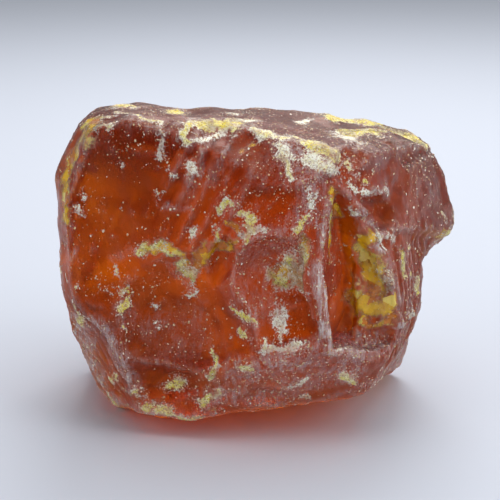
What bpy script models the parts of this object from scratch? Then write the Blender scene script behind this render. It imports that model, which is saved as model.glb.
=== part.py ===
"""A raw lump of amber, 88 mm across, as one closed faceted solid.

The lump is an implicit surface. Fracture planes bound its body, a knob, an overhanging block and a slab of
chips are joined to it, and an open recess and shell-shaped scars are broken out of it. Ripples and unevenness
are added to that distance. A sphere is moved out onto the surface, evened out, settled on the surface again
and thinned to flats and ridges. Sizes are in millimetres: x to the right, y away from the front, z up.
"""

import math

import bmesh
import bpy
import numpy as np

WIDTH = 88.0              # the finished lump, left to right
CORE = (0.0, -1.0, 34.0)  # the outer surface is found by looking out from here
REACH = 62.0              # no point of the lump is this far from the core
MM = 0.001

# Rounding where two surfaces meet.
PLANE_ROUND = 0.7
JOIN_ROUND = 1.6
SCAR_ROUND = 0.6

# The mesh: sphere levels, even spacing, and triangles in the finished solid.
SPHERE_LEVELS = 6
SPACING = 0.7
SETTLINGS = 3     # how often the mesh is evened out and settled on the surface
CALMING = 8       # smoothing steps before each settling
FOOT_FLAT = 0.12  # points of the foot this near the ground lie on it
TRIANGLES = 9600

# Fracture planes: (a point on the plane), azimuth and tilt of the outward normal in degrees.
# Azimuth 0 faces the front, 90 the right, 180 the back; tilt is above the horizon.
BODY = {
    "main_face": ((-23.5, -22.0, 47.0), -20, 4),
    "front": ((5.0, -28.5, 48.0), 2, 2),
    "front_right": ((16.0, -28.5, 45.0), 24, -2),
    "front_low_left": ((-18.0, -22.5, 12.0), -10, -14),
    "band": ((9.0, -25.0, 16.0), 12, -27),
    "underside_front": ((-12.0, -8.0, 0.0), 20, -67),
    "underside_middle": ((18.0, 3.6, 0.0), 29, -66),
    "underside_left": ((-17.0, -8.8, 0.0), -15, -66),
    "underside_right": ((31.0, -12.0, 11.2), 56, -60),
    "crust_slope": ((11.0, -24.5, 64.3), 2, 50),
    "top": ((-10.0, -8.0, 67.0), 112, 83),
    "top_back": ((-12.0, 9.0, 65.6), 178, 56),
    "top_left": ((-37.0, -4.0, 64.0), -95, 42),
    "top_left_corner": ((-29.5, 4.0, 66.8), -104, 73),
    "left_upper": ((-40.4, 0.0, 59.4), -84, 22),
    "left_facet": ((-37.7, -14.5, 56.5), -68, 20),
    "left_facet_low": ((-40.0, -13.0, 36.6), -68, 2),
    "left_middle": ((-42.6, 2.0, 46.8), -86, -2),
    "left_low": ((-39.7, 0.0, 16.0), -82, -12),
    "left_foot": ((-37.3, -6.0, 5.8), -74, -41),
    "corner_left": ((-32.9, -18.8, 22.2), -49, -16),
    "right_flank": ((26.8, -22.0, 39.5), 66, 6),
    "right_low": ((35.8, 1.0, 24.0), 74, -3),
    "right_foot": ((32.4, 0.0, 12.6), 72, -23),
    "right_top": ((37.0, 14.0, 57.4), 96, 70),
    "back": ((2.0, 32.0, 36.0), 176, 5),
    "left_back": ((-42.4, 12.0, 44.0), -98, 3),
    "back_left": ((-39.4, 24.5, 36.0), -126, 3),
    "back_right": ((27.0, 22.5, 30.0), 136, -4),
    "back_low": ((-4.0, 29.5, 14.0), 186, -28),
    "back_foot": ((6.0, 27.0, 3.0), 172, -58),
}

# The block that overhangs the right flank.
BLOCK = {
    "block_front": ((26.8, -23.6, 60.5), 26, 3),
    "block_right": ((43.1, 6.1, 46.0), 60, 10),
    "block_shoulder": ((41.9, 7.0, 52.8), 64, 28),
    "block_tip": ((43.0, -1.0, 40.4), 74, -26),
    "block_under": ((36.0, -4.0, 39.6), 44, -44),
    "block_top": ((-10.0, -8.0, 66.2), 114, 81),
    "block_top_right": ((36.0, 10.0, 57.7), 72, 68),
    "block_back": ((38.0, 9.0, 46.0), 150, 0),
    "block_low_back": ((34.0, 8.0, 34.0), 160, -50),
    "block_inner": ((16.5, -20.0, 55.0), -84, 0),
    "block_crust_slope": ((11.0, -24.5, 64.3), 2, 50),
    "block_top_back": ((-12.0, 9.0, 66.0), 178, 56),
    "block_right_top": ((37.0, 14.0, 57.4), 96, 70),
}

# The knob at the middle of the front, above a stepped break.
KNOB = {
    "knob_left": ((-8.4, -26.0, 58.0), -46, 6),
    "knob_front": ((2.7, -31.0, 57.0), -8, 4),
    "knob_right": ((10.5, -30.8, 56.0), 16, -2),
    "knob_under": ((1.0, -30.0, 44.0), -10, -40),
    "knob_top": ((2.0, -24.0, 65.8), -12, 44),
    "knob_roof": ((-10.0, -8.0, 67.2), 118, 83),
    "knob_back": ((0.0, -12.0, 56.0), 180, 0),
    "knob_side": ((15.0, -27.0, 56.0), 74, -8),
}

# The glassy chips at the right of the recess.
CHIPS = {
    "chip_left": ((19.6, -21.0, 36.0), -78, -4),
    "chip_front": ((23.4, -22.6, 40.0), 10, -6),
    "chip_upper": ((22.0, -23.6, 45.0), -20, 38),
    "chip_right": ((29.0, -20.0, 30.0), 66, 6),
    "chip_floor": ((20.0, -18.0, 24.0), 0, -80),
    "chip_back": ((22.0, -10.0, 36.0), 180, 0),
}

# The open recess, as the faces it leaves on the lump.
RECESS = {
    "recess_left": ((13.4, -29.8, 41.0), 66, -3),
    "recess_right": ((24.0, -24.3, 42.0), -22, -24),
    "recess_floor": ((18.6, -20.0, 24.5), 36, 70),
}

# Shell-shaped scars: centre and half sizes of the ellipsoid, lean (clockwise seen from the front) and turn.
SCARS = {
    "main_scar": ((-20.5, -50.0, 29.0), (30.0, 29.4, 28.0), 0, 14),
    "scar_foot": ((-23.0, -52.0, 12.0), (26.0, 31.5, 16.0), 0, 0),
    "middle_scar": ((4.0, -50.0, 37.5), (20.0, 24.6, 17.0), -6, 0),
    "low_scar": ((7.0, -50.0, 30.0), (22.0, 23.4, 14.0), -4, 0),
    "crest_scar": ((9.8, -35.0, 42.0), (3.0, 6.8, 9.0), -3, 0),
    "orange_hollow": ((-7.4, -33.0, 38.0), (4.0, 9.0, 11.0), 8, 0),
    "band_scar": ((6.0, -50.0, 10.0), (28.0, 27.6, 11.0), -9, 0),
    "edge_notch": ((-9.0, -27.0, 70.0), (6.0, 9.0, 5.2), 20, 0),
    "edge_nick": ((-20.0, -25.0, 72.0), (8.0, 9.0, 5.0), 0, 0),
    "under_block": ((29.8, -27.8, 50.0), (11.0, 9.0, 6.0), 30, 28),
    "flank_scar": ((48.0, -18.0, 26.0), (14.0, 14.0, 12.0), 0, 0),
    "notch_scar": ((50.0, 3.0, 31.2), (26.0, 15.0, 6.0), 18, 90),
    "top_dip": ((-14.0, 4.0, 92.0), (24.0, 22.0, 26.0), 0, 0),
    "top_scar": ((20.0, 6.0, 91.2), (30.0, 18.0, 26.5), 0, 0),
    "left_scar_high": ((-84.0, 14.0, 54.0), (44.0, 40.0, 36.0), 0, 0),
    "left_scar_low": ((-74.0, 26.0, 18.0), (38.0, 34.0, 30.0), 0, 0),
    "back_scar_left": ((-22.0, 75.0, 48.0), (50.0, 46.5, 40.0), 0, 0),
    "back_scar_right": ((36.0, 62.5, 52.0), (36.0, 38.0, 30.0), 0, 0),
    "back_scar_low": ((8.0, 68.5, 12.0), (44.0, 40.0, 30.0), 0, 0),
    "right_scar": ((70.0, 20.0, 26.0), (36.0, 34.0, 28.0), 0, 0),
}

# Crests that stand proud: (points along it), radius.
CRESTS = {
    "left_crest": (((-33.2, -17.0, 65.0), (-34.9, -16.8, 61.0), (-36.6, -16.5, 57.0),
                    (-38.6, -16.0, 52.4), (-38.6, -16.4, 48.0), (-38.2, -16.7, 43.0),
                    (-39.0, -16.4, 38.0), (-40.2, -15.8, 34.0)), 0.6),
    "middle_crest": (((14.4, -28.4, 59.2), (13.9, -29.2, 55.4), (13.0, -29.5, 47.3), (12.7, -29.4, 41.0),
                      (13.6, -29.0, 34.6), (14.3, -28.4, 28.0), (14.0, -27.0, 23.4)), 1.0),
    "left_strand": (((12.4, -28.8, 52.0), (11.4, -29.0, 46.0), (11.2, -28.6, 39.0),
                     (12.4, -28.0, 31.0)), 0.7),
    "right_crest": (((15.4, -28.8, 59.0), (19.0, -27.4, 55.5), (21.6, -26.6, 51.5), (23.8, -26.0, 47.0),
                     (25.3, -24.7, 42.0), (27.0, -22.7, 36.0), (28.6, -20.4, 30.0),
                     (30.3, -18.0, 24.0)), 0.9),
}

# Ripples: centre of curvature, spacing, height, middle of the rippled patch, its half sizes.
RIPPLES = {
    "knob_ribs": ((52.0, -24.0, 21.0), 3.0, 0.3, (-9.5, -26.0, 57.0), (6.5, 12.0, 12.0)),
    "chamfer_flutes": ((-54.0, 35.0, -12.0), 2.8, 0.3, (-35.0, -13.0, 16.0), (8.0, 10.0, 12.0)),
    "flank_flutes": ((9.0, -62.0, 22.0), 2.6, 0.45, (33.0, -11.0, 28.0), (8.0, 13.0, 13.0)),
    "back_ribs": ((20.0, 33.0, 90.0), 4.5, 0.35, (-10.0, 29.0, 44.0), (18.0, 10.0, 14.0)),
}

# Unevenness: (cell size, how far it shifts the surface).
WARPS = ((17.0, 2.6), (7.0, 1.1))
LUMPS = ((5.0, 0.5), (2.6, 0.25))
HASH_X, HASH_Y, HASH_Z, HASH_SIZE = 73856093, 19349663, 83492791, 4096

AMBER_COLOUR = (0.40, 0.085, 0.02, 1.0)
AMBER_ROUGHNESS = 0.35


def normal_of(azimuth, tilt):
    """The unit vector that faces this way."""
    a, t = math.radians(azimuth), math.radians(tilt)
    return np.array((math.sin(a) * math.cos(t), -math.cos(a) * math.cos(t), math.sin(t)))


def smooth_max(a, b, width):
    """The larger of two distances, rounded where they are within width of each other."""
    near = np.maximum(width - np.abs(a - b), 0.0) / width
    return np.maximum(a, b) + near * near * width / 4


def smooth_min(a, b, width):
    return -smooth_max(-a, -b, width)


def above(points, planes):
    """Distances of the points above each of these planes."""
    for point, azimuth, tilt in planes.values():
        yield (points - np.array(point)) @ normal_of(azimuth, tilt)


def outside_block(points, planes):
    """Distance outside the convex block that these planes bound."""
    faces = above(points, planes)
    distance = next(faces)
    for face in faces:
        distance = smooth_max(distance, face, PLANE_ROUND)
    return distance


def inside_notch(points, planes):
    """Distance inside the notch that leaves these planes as its faces."""
    faces = above(points, planes)
    distance = next(faces)
    for face in faces:
        distance = smooth_min(distance, face, PLANE_ROUND)
    return distance


def outside_ellipsoid(points, centre, half_sizes, lean, turn):
    """About the distance outside an ellipsoid, negative inside."""
    l, t = math.radians(lean), math.radians(turn)
    about_y = np.array(((math.cos(l), 0, math.sin(l)), (0, 1, 0), (-math.sin(l), 0, math.cos(l))))
    about_z = np.array(((math.cos(t), -math.sin(t), 0), (math.sin(t), math.cos(t), 0), (0, 0, 1)))
    local = (points - np.array(centre)) @ (about_z @ about_y)
    scaled = np.linalg.norm(local / half_sizes, axis=1)
    steep = np.linalg.norm(local / np.square(half_sizes), axis=1)
    return scaled * (scaled - 1) / np.maximum(steep, 1e-9)


def outside_crest(points, path, radius):
    """Distance outside a round bar that follows a path."""
    distance = np.full(len(points), np.inf)
    for start, end in zip(np.array(path[:-1]), np.array(path[1:])):
        along = np.clip((points - start) @ (end - start) / ((end - start) @ (end - start)), 0, 1)
        away = points - start - along[:, None] * (end - start)
        distance = np.minimum(distance, np.linalg.norm(away, axis=1))
    return distance - radius


def noise(points, size, seed):
    """Smooth noise from -1 to 1 with cells of this size."""
    values = np.random.default_rng(seed).uniform(-1, 1, HASH_SIZE)
    cell = np.floor(points / size).astype(np.int64)
    part = points / size - cell
    part = part * part * (3 - 2 * part)
    total = 0.0
    for corner in np.ndindex(2, 2, 2):
        x, y, z = (cell + corner).T
        weight = np.where(corner, part, 1 - part).prod(axis=1)
        total = total + weight * values[(x * HASH_X ^ y * HASH_Y ^ z * HASH_Z) % HASH_SIZE]
    return total


def relief(points):
    """How far ripples and lumps raise the surface here."""
    height = sum(amount * noise(points, size, 20 + n) for n, (size, amount) in enumerate(LUMPS))
    for centre, spacing, amount, middle, half_sizes in RIPPLES.values():
        turns = np.linalg.norm(points - np.array(centre), axis=1) / spacing + 0.35 * noise(points, 9.0, 31)
        patch = np.clip(1.5 - np.linalg.norm((points - np.array(middle)) / half_sizes, axis=1), 0, 0.5) * 2
        height = height + amount * patch * (1 - 2 * np.abs(np.sin(math.pi * turns)))
    return height


def outside_lump(points):
    """Distance outside the lump, negative inside."""
    shift = sum(amount * np.stack([noise(points, size, 10 * n + axis) for axis in range(3)], axis=1)
                for n, (size, amount) in enumerate(WARPS, 1))
    moved = points + shift * 0.5
    distance = outside_block(moved, BODY)
    distance = smooth_min(distance, outside_block(moved, BLOCK), JOIN_ROUND)
    distance = smooth_min(distance, outside_block(moved, KNOB), JOIN_ROUND)
    distance = smooth_max(distance, inside_notch(moved, RECESS), SCAR_ROUND)
    distance = smooth_min(distance, outside_block(moved, CHIPS), SCAR_ROUND)
    for scar in SCARS.values():
        distance = smooth_max(distance, -outside_ellipsoid(moved, *scar), SCAR_ROUND)
    for crest in CRESTS.values():
        distance = smooth_min(distance, outside_crest(moved, *crest), SCAR_ROUND)
    return np.maximum(distance - relief(points), -points[:, 2])


def reach_along(ways):
    """How far the surface is from the core along each unit vector: marched in from outside, then halved."""
    core = np.array(CORE)
    step = 0.8
    far = np.full(len(ways), REACH)
    todo = np.arange(len(ways))
    while len(todo):
        inner = far[todo] - step
        found = outside_lump(core + ways[todo] * inner[:, None]) < 0
        far[todo[~found]] = inner[~found]
        todo = todo[~found]
    return far - step / 2


def settled(points, rounds=3, probe=0.05):
    """The points moved along the slope of the distance until they lie on the surface."""
    for _ in range(rounds):
        distance = outside_lump(points)
        rises = [outside_lump(points + probe * axis) - distance for axis in np.eye(3)]
        slope = np.stack(rises, axis=1) / probe
        steep = np.maximum((slope * slope).sum(axis=1), 0.25)
        points = points - np.clip(distance / steep, -0.5, 0.5)[:, None] * slope
    return points


def points_of(mesh):
    found = np.empty(len(mesh.vertices) * 3)
    mesh.vertices.foreach_get("co", found)
    return found.reshape(-1, 3)


def put_points(mesh, points):
    mesh.vertices.foreach_set("co", points.ravel())
    mesh.update()


def clear_scene():
    for obj in list(bpy.data.objects):
        bpy.data.objects.remove(obj)


def lump_mesh():
    """An icosphere with its points moved out onto the lump's surface."""
    bm = bmesh.new()
    bmesh.ops.create_icosphere(bm, subdivisions=SPHERE_LEVELS, radius=1.0)
    mesh = bpy.data.meshes.new("amber_lump")
    bm.to_mesh(mesh)
    bm.free()
    ways = points_of(mesh)
    ways /= np.linalg.norm(ways, axis=1)[:, None]
    put_points(mesh, (np.array(CORE) + ways * reach_along(ways)[:, None]) * MM)
    return mesh


def amber_material():
    material = bpy.data.materials.new("raw_amber")
    material.use_nodes = True
    surface = material.node_tree.nodes["Principled BSDF"]
    surface.inputs["Base Color"].default_value = AMBER_COLOUR
    surface.inputs["Roughness"].default_value = AMBER_ROUGHNESS
    surface.inputs["Metallic"].default_value = 0.0
    return material


def even_out(lump):
    """Gives the lump an even mesh and takes the steps off it."""
    even = lump.modifiers.new("even", "REMESH")
    even.mode = "VOXEL"
    even.voxel_size = SPACING * MM
    calm = lump.modifiers.new("calm", "SMOOTH")
    calm.iterations = CALMING
    lump.data = bpy.data.meshes.new_from_object(lump.evaluated_get(bpy.context.evaluated_depsgraph_get()))
    lump.modifiers.clear()


def thin_out(lump):
    """Leaves the lump its flats and ridges."""
    thin = lump.modifiers.new("thin", "DECIMATE")
    thin.ratio = TRIANGLES / (2 * len(lump.data.polygons))
    lump.data = bpy.data.meshes.new_from_object(lump.evaluated_get(bpy.context.evaluated_depsgraph_get()))
    lump.modifiers.clear()


def to_size(points):
    """The points brought to the lump's width, over its own middle, with its foot flat on the ground."""
    points = points * WIDTH / np.ptp(points[:, 0])
    points[:, :2] -= (points[:, :2].min(axis=0) + points[:, :2].max(axis=0)) / 2
    points[:, 2] = np.where(points[:, 2] < FOOT_FLAT, 0.0, points[:, 2])
    return points


def main():
    clear_scene()
    collection = bpy.data.collections.new("raw_amber")
    bpy.context.scene.collection.children.link(collection)
    lump = bpy.data.objects.new("amber_lump", lump_mesh())
    collection.objects.link(lump)
    for _ in range(SETTLINGS):
        even_out(lump)
        put_points(lump.data, settled(points_of(lump.data) / MM) * MM)
    thin_out(lump)
    put_points(lump.data, to_size(points_of(lump.data) / MM) * MM)
    lump.data.materials.append(amber_material())


main()
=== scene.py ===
import math

import bmesh
import bpy
import numpy as np
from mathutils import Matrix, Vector
from mathutils.bvhtree import BVHTree


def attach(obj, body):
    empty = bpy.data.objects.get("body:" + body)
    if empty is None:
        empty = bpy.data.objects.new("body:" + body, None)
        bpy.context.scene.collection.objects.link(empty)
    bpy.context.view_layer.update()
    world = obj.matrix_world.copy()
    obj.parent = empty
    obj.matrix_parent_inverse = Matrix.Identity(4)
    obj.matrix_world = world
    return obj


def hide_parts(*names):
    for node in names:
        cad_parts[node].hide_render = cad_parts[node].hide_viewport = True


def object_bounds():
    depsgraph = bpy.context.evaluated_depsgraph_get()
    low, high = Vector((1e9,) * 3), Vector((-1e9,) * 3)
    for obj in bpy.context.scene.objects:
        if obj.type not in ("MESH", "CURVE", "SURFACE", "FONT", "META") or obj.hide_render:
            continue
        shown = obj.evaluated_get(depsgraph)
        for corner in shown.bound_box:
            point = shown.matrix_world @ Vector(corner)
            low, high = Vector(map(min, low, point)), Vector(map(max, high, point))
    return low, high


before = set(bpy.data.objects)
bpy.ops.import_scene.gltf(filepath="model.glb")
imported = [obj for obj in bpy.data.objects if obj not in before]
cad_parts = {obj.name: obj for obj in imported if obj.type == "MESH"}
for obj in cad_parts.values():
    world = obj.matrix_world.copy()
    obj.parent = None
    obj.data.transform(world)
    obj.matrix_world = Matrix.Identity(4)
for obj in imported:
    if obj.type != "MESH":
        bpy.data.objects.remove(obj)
cad_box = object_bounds()
MM = 0.001


# ---- The camera ------------------------------------------------------------------------------
# A 100 mm lens looks down on the front of the lump. Marks on the front of the lump are given
# where they show in its 500 x 500 picture, and are carried along the sight lines onto its skin.
PICTURE = 500
LENS, SENSOR = 100.0, 36.0
LOOK_DOWN = math.radians(18)
AIM = np.array((-0.466, -1.909, 33.38))
AIM_PIXEL = (256.0, 262.0)
DISTANCE = 309.58

MM_PER_PIXEL = DISTANCE * SENSOR / LENS / PICTURE
picture_up = np.array((0.0, math.sin(LOOK_DOWN), math.cos(LOOK_DOWN)))
eye = AIM + DISTANCE * np.array((0.0, -math.cos(LOOK_DOWN), math.sin(LOOK_DOWN)))

lens = bpy.data.cameras.new("camera")
lens.lens, lens.sensor_width = LENS, SENSOR
lens.shift_x = (PICTURE / 2 - AIM_PIXEL[0]) / PICTURE
lens.shift_y = (AIM_PIXEL[1] - PICTURE / 2) / PICTURE
lens.clip_start, lens.clip_end = 0.01, 50.0
camera = bpy.data.objects.new("camera", lens)
camera.location = eye * MM
camera.rotation_euler = (math.pi / 2 - LOOK_DOWN, 0, 0)
bpy.context.scene.collection.objects.link(camera)
bpy.context.scene.camera = camera


def sight_line(px, py):
    """The unit direction in which the camera sees this pixel."""
    across, up = (px - AIM_PIXEL[0]) * MM_PER_PIXEL, (AIM_PIXEL[1] - py) * MM_PER_PIXEL
    way = AIM + np.array((across, 0.0, 0.0)) + picture_up * up - eye
    return way / np.linalg.norm(way)


# ---- The lump's shape ------------------------------------------------------------------------
# One broken piece of raw amber. Fracture planes bound it, shell-shaped scars hollow it, a block
# overhangs its right flank, and a recess stands open between two fibrous crests.
# It was laid out in millimetres before it was centred and brought to its width.
LAYOUT_SHIFT = np.array((0.3704, 1.7764, 0.0))
LAYOUT_SCALE = 0.98958
PLANE_ROUND, JOIN_ROUND, SCAR_ROUND = 0.6, 1.4, 0.5

# A plane is a point on it, and the azimuth and tilt of its outward normal in degrees: azimuth 0
# faces the front and 90 the right, and tilt is above the horizon.
BODY = {
    "main_face": ((-23.5, -22.0, 47.0), -20, 4),
    "front": ((5.0, -28.5, 48.0), 2, 2),
    "front_right": ((16.0, -28.5, 45.0), 24, -2),
    "front_low_left": ((-18.0, -22.5, 12.0), -10, -14),
    "band": ((9.0, -25.0, 16.0), 12, -27),
    "underside_front": ((-12.0, -8.0, 0.0), 20, -67),
    "underside_middle": ((18.0, 3.6, 0.0), 29, -66),
    "underside_left": ((-17.0, -8.8, 0.0), -15, -66),
    "underside_right": ((31.0, -12.0, 11.2), 56, -60),
    "crust_slope": ((11.0, -24.5, 64.3), 2, 50),
    "top": ((-10.0, -8.0, 67.0), 112, 83),
    "top_back": ((-12.0, 9.0, 65.6), 178, 56),
    "top_left": ((-37.0, -4.0, 64.0), -95, 42),
    "top_left_corner": ((-29.5, 4.0, 66.8), -104, 73),
    "left_upper": ((-40.4, 0.0, 59.4), -84, 22),
    "left_facet": ((-37.7, -14.5, 56.5), -68, 20),
    "left_facet_low": ((-40.0, -13.0, 36.6), -68, 2),
    "left_middle": ((-42.6, 2.0, 46.8), -86, -2),
    "left_low": ((-39.7, 0.0, 16.0), -82, -12),
    "left_foot": ((-37.3, -6.0, 5.8), -74, -41),
    "corner_left": ((-32.9, -18.8, 22.2), -49, -16),
    "right_flank": ((26.8, -22.0, 39.5), 66, 6),
    "right_low": ((35.8, 1.0, 24.0), 74, -3),
    "right_foot": ((32.4, 0.0, 12.6), 72, -23),
    "right_top": ((37.0, 14.0, 57.4), 96, 70),
    "back": ((2.0, 32.0, 36.0), 176, 5),
    "left_back": ((-42.4, 12.0, 44.0), -98, 3),
    "back_left": ((-39.4, 24.5, 36.0), -126, 3),
    "back_right": ((27.0, 22.5, 30.0), 136, -4),
    "back_low": ((-4.0, 29.5, 14.0), 186, -28),
    "back_foot": ((6.0, 27.0, 3.0), 172, -58),
}

# The block that overhangs the right flank.
BLOCK = {
    "block_front": ((26.8, -23.6, 60.5), 26, 3),
    "block_right": ((43.1, 6.1, 46.0), 60, 10),
    "block_shoulder": ((41.9, 7.0, 52.8), 64, 28),
    "block_tip": ((43.0, -1.0, 40.4), 74, -26),
    "block_under": ((36.0, -4.0, 39.6), 44, -44),
    "block_top": ((-10.0, -8.0, 66.2), 114, 81),
    "block_top_right": ((36.0, 10.0, 57.7), 72, 68),
    "block_back": ((38.0, 9.0, 46.0), 150, 0),
    "block_low_back": ((34.0, 8.0, 34.0), 160, -50),
    "block_inner": ((16.5, -20.0, 55.0), -84, 0),
    "block_crust_slope": ((11.0, -24.5, 64.3), 2, 50),
    "block_top_back": ((-12.0, 9.0, 66.0), 178, 56),
    "block_right_top": ((37.0, 14.0, 57.4), 96, 70),
}

# The knob at the middle of the front, above a stepped break.
KNOB = {
    "knob_left": ((-8.4, -26.0, 58.0), -46, 6),
    "knob_front": ((2.7, -31.0, 57.0), -8, 4),
    "knob_right": ((10.5, -30.8, 56.0), 16, -2),
    "knob_under": ((1.0, -30.0, 44.0), -10, -40),
    "knob_top": ((2.0, -24.0, 65.8), -12, 44),
    "knob_roof": ((-10.0, -8.0, 67.2), 118, 83),
    "knob_back": ((0.0, -12.0, 56.0), 180, 0),
    "knob_side": ((15.0, -27.0, 56.0), 74, -8),
}

# The glassy chips at the right of the recess.
CHIPS = {
    "chip_left": ((19.6, -21.0, 36.0), -78, -4),
    "chip_front": ((23.4, -22.6, 40.0), 10, -6),
    "chip_upper": ((22.0, -23.6, 45.0), -20, 38),
    "chip_right": ((29.0, -20.0, 30.0), 66, 6),
    "chip_floor": ((20.0, -18.0, 24.0), 0, -80),
    "chip_back": ((22.0, -10.0, 36.0), 180, 0),
}

# The open recess, as the faces it leaves on the lump.
RECESS = {
    "recess_left": ((13.4, -29.8, 41.0), 66, -3),
    "recess_right": ((24.0, -24.3, 42.0), -22, -24),
    "recess_floor": ((18.6, -20.0, 24.5), 36, 70),
}

# Shell-shaped scars: centre and half sizes of the ellipsoid, lean (clockwise seen from the front) and turn.
SCARS = {
    "main_scar": ((-20.5, -50.0, 29.0), (30.0, 29.4, 28.0), 0, 14),
    "scar_foot": ((-23.0, -52.0, 12.0), (26.0, 31.5, 16.0), 0, 0),
    "middle_scar": ((4.0, -50.0, 37.5), (20.0, 24.6, 17.0), -6, 0),
    "low_scar": ((7.0, -50.0, 30.0), (22.0, 23.4, 14.0), -4, 0),
    "crest_scar": ((9.8, -35.0, 42.0), (3.0, 6.8, 9.0), -3, 0),
    "orange_hollow": ((-7.4, -33.0, 38.0), (4.0, 9.0, 11.0), 8, 0),
    "band_scar": ((6.0, -50.0, 10.0), (28.0, 27.6, 11.0), -9, 0),
    "edge_notch": ((-9.0, -27.0, 70.0), (6.0, 9.0, 5.2), 20, 0),
    "edge_nick": ((-20.0, -25.0, 72.0), (8.0, 9.0, 5.0), 0, 0),
    "under_block": ((29.8, -27.8, 50.0), (11.0, 9.0, 6.0), 30, 28),
    "flank_scar": ((48.0, -18.0, 26.0), (14.0, 14.0, 12.0), 0, 0),
    "notch_scar": ((50.0, 3.0, 31.2), (26.0, 15.0, 6.0), 18, 90),
    "top_dip": ((-14.0, 4.0, 92.0), (24.0, 22.0, 26.0), 0, 0),
    "top_scar": ((20.0, 6.0, 91.2), (30.0, 18.0, 26.5), 0, 0),
    "left_scar_high": ((-84.0, 14.0, 54.0), (44.0, 40.0, 36.0), 0, 0),
    "left_scar_low": ((-74.0, 26.0, 18.0), (38.0, 34.0, 30.0), 0, 0),
    "back_scar_left": ((-22.0, 75.0, 48.0), (50.0, 46.5, 40.0), 0, 0),
    "back_scar_right": ((36.0, 62.5, 52.0), (36.0, 38.0, 30.0), 0, 0),
    "back_scar_low": ((8.0, 68.5, 12.0), (44.0, 40.0, 30.0), 0, 0),
    "right_scar": ((70.0, 20.0, 26.0), (36.0, 34.0, 28.0), 0, 0),
}

# Crests that stand proud: (points along it), radius.
CRESTS = {
    "left_crest": (((-33.2, -17.0, 65.0), (-34.9, -16.8, 61.0), (-36.6, -16.5, 57.0),
                    (-38.6, -16.0, 52.4), (-38.6, -16.4, 48.0), (-38.2, -16.7, 43.0),
                    (-39.0, -16.4, 38.0), (-40.2, -15.8, 34.0)), 0.6),
    "middle_crest": (((14.4, -28.4, 59.2), (13.9, -29.2, 55.4), (13.0, -29.5, 47.3), (12.7, -29.4, 41.0),
                      (13.6, -29.0, 34.6), (14.3, -28.4, 28.0), (14.0, -27.0, 23.4)), 1.0),
    "left_strand": (((12.4, -28.8, 52.0), (11.4, -29.0, 46.0), (11.2, -28.6, 39.0),
                     (12.4, -28.0, 31.0)), 0.7),
    "right_crest": (((15.4, -28.8, 59.0), (19.0, -27.4, 55.5), (21.6, -26.6, 51.5), (23.8, -26.0, 47.0),
                     (25.3, -24.7, 42.0), (27.0, -22.7, 36.0), (28.6, -20.4, 30.0),
                     (30.3, -18.0, 24.0)), 0.9),
}

# Ripples: centre of curvature, spacing, height, middle of the rippled patch, its half sizes.
RIPPLES = {
    "knob_ribs": ((52.0, -24.0, 21.0), 3.0, 0.3, (-9.5, -26.0, 57.0), (6.5, 12.0, 12.0)),
    "chamfer_flutes": ((-54.0, 35.0, -12.0), 2.8, 0.3, (-35.0, -13.0, 16.0), (8.0, 10.0, 12.0)),
    "flank_flutes": ((9.0, -62.0, 22.0), 2.6, 0.45, (33.0, -11.0, 28.0), (8.0, 13.0, 13.0)),
    "back_ribs": ((20.0, 33.0, 90.0), 4.5, 0.35, (-10.0, 29.0, 44.0), (18.0, 10.0, 14.0)),
}

# Unevenness: (cell size, how far it shifts the surface). The last sizes are finer than the solid's.
WARPS = ((17.0, 2.6), (7.0, 1.1))
LUMPS = ((5.0, 0.5), (2.6, 0.25), (1.4, 0.1))
RIPPLE_FADE, FINE_FADE = 0.5, 0.6
HASH_X, HASH_Y, HASH_Z, HASH_SIZE = 73856093, 19349663, 83492791, 4096


def normal_of(azimuth, tilt):
    """The unit vector that faces this way."""
    a, t = math.radians(azimuth), math.radians(tilt)
    return np.array((math.sin(a) * math.cos(t), -math.cos(a) * math.cos(t), math.sin(t)))


def smooth_max(a, b, width):
    """The larger of two distances, rounded where they are within width of each other."""
    near = np.maximum(width - np.abs(a - b), 0.0) / width
    return np.maximum(a, b) + near * near * width / 4


def smooth_min(a, b, width):
    return -smooth_max(-a, -b, width)


def above(points, planes):
    """Distances of the points above each of these planes."""
    for point, azimuth, tilt in planes.values():
        yield (points - np.array(point)) @ normal_of(azimuth, tilt)


def outside_block(points, planes):
    """Distance outside the convex block that these planes bound."""
    faces = above(points, planes)
    distance = next(faces)
    for face in faces:
        distance = smooth_max(distance, face, PLANE_ROUND)
    return distance


def inside_notch(points, planes):
    """Distance inside the notch that leaves these planes as its faces."""
    faces = above(points, planes)
    distance = next(faces)
    for face in faces:
        distance = smooth_min(distance, face, PLANE_ROUND)
    return distance


def outside_ellipsoid(points, centre, half_sizes, lean, turn):
    """About the distance outside an ellipsoid, negative inside."""
    l, t = math.radians(lean), math.radians(turn)
    about_y = np.array(((math.cos(l), 0, math.sin(l)), (0, 1, 0), (-math.sin(l), 0, math.cos(l))))
    about_z = np.array(((math.cos(t), -math.sin(t), 0), (math.sin(t), math.cos(t), 0), (0, 0, 1)))
    local = (points - np.array(centre)) @ (about_z @ about_y)
    scaled = np.linalg.norm(local / half_sizes, axis=1)
    steep = np.linalg.norm(local / np.square(half_sizes), axis=1)
    return scaled * (scaled - 1) / np.maximum(steep, 1e-9)


def outside_crest(points, path, radius):
    """Distance outside a round bar that follows a path."""
    distance = np.full(len(points), np.inf)
    for start, end in zip(np.array(path[:-1]), np.array(path[1:])):
        along = np.clip((points - start) @ (end - start) / ((end - start) @ (end - start)), 0, 1)
        away = points - start - along[:, None] * (end - start)
        distance = np.minimum(distance, np.linalg.norm(away, axis=1))
    return distance - radius


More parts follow.
